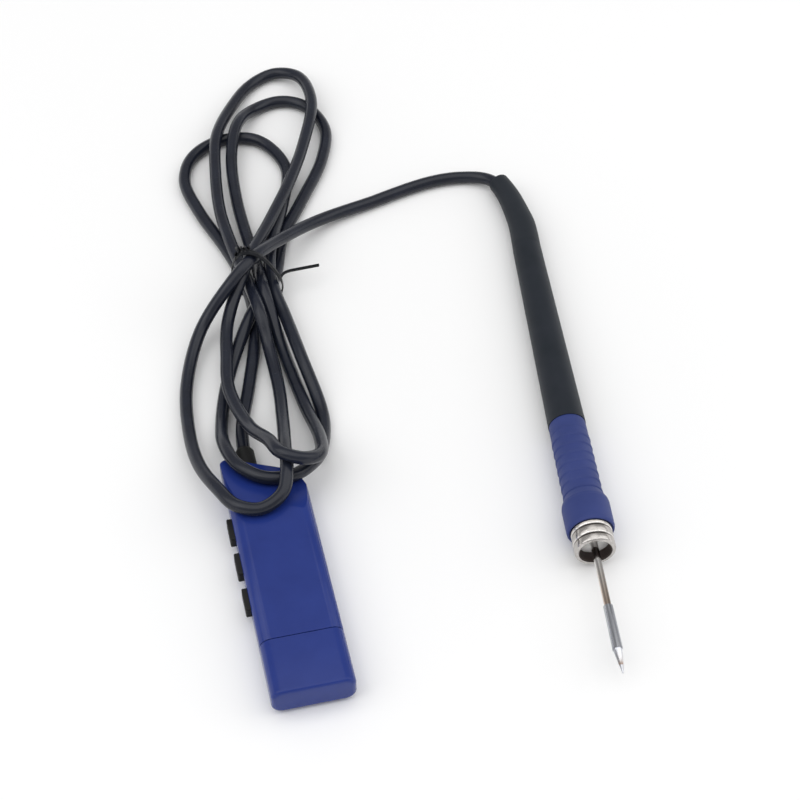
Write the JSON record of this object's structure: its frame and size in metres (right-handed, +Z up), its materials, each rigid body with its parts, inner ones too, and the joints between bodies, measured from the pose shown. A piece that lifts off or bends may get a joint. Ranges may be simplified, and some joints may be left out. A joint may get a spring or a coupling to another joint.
{
  "type": "soldering iron",
  "caption": "USB soldering iron: slim pen with removable tip cartridge, grip and bent cable boot, a flat control box with capped plug and side keys, and a bundled cord.",
  "frame": {"origin": "centre of the control box's flat underside, on the surface that it lies on", "axes": "+Z up out of the box's label face, -Y the way the plug and the pen's tip point, +X from the box towards the pen"},
  "size_m": [0.1585, 0.3398, 0.0256],
  "materials": {
    "box_blue": "gloss",
    "grip_blue": "matte",
    "black_handle": "matte",
    "black_rubber": "matte",
    "cord_jacket": "satin",
    "steel": "satin",
    "plating": "satin",
    "plug_steel": "polished",
    "brass_contacts": "polished",
    "brown_liner": "matte",
    "inner_plastic": "matte",
    "board_green": "satin",
    "chip_black": "matte",
    "can_metal": "satin",
    "window_smoke": "gloss",
    "heater_ceramic": "matte",
    "wire_red": "satin",
    "stem_white": "matte",
    "tie_black": "matte"
  },
  "bodies": {
    "base": {"upper_shell": "box_blue", "lower_shell": "box_blue", "usb_shell": "plug_steel", "usb_tongue": "inner_plastic", "usb_contacts": "brass_contacts", "main_board": "board_green", "control_chip": "chip_black", "power_switch": "chip_black", "inductor": "chip_black", "capacitors": "can_metal", "display_module": "chip_black", "display_window": "window_smoke", "switch_bodies": "inner_plastic", "box_strain_relief": "black_rubber", "box_wires": "wire_red", "nose_collar": "steel", "cup_liner": "brown_liner", "grip_sleeve": "grip_blue", "inner_barrel": "inner_plastic", "handle_tube": "black_handle", "socket_block": "stem_white", "contact_springs": "brass_contacts", "pen_wires": "wire_red", "cord_clamp": "steel", "cable_boot": "black_rubber", "cord": "cord_jacket", "cord_tie": "tie_black"},
    "cap": {"usb_cap": "box_blue"},
    "cartridge": {"tip_bit": "plating", "tip_tube": "steel", "heater_core": "heater_ceramic", "tip_insulator": "stem_white", "tip_contacts": "brass_contacts"},
    "key_up": {"button_up": "black_rubber", "stem_up": "stem_white"},
    "key_down": {"button_down": "black_rubber", "stem_down": "stem_white"},
    "key_power": {"button_power": "black_rubber", "stem_power": "stem_white"}
  },
  "joints": [
    {"name": "cap_pull", "type": "slide", "parent": "base", "child": "cap", "axis": [0, -1, 0], "range_m": [0, 0.024]},
    {"name": "cartridge_pull", "type": "slide", "parent": "base", "child": "cartridge", "axis": [-0.1097, -0.9937, 0.0227], "range_m": [0, 0.046]},
    {"name": "key_up_press", "type": "slide", "parent": "base", "child": "key_up", "axis": [1, 0, 0], "range_m": [0, 0.0005], "stiffness_N_per_m": 2000},
    {"name": "key_down_press", "type": "slide", "parent": "base", "child": "key_down", "axis": [1, 0, 0], "range_m": [0, 0.0005], "stiffness_N_per_m": 2000},
    {"name": "key_power_press", "type": "slide", "parent": "base", "child": "key_power", "axis": [1, 0, 0], "range_m": [0, 0.0005], "stiffness_N_per_m": 2000}
  ]
}
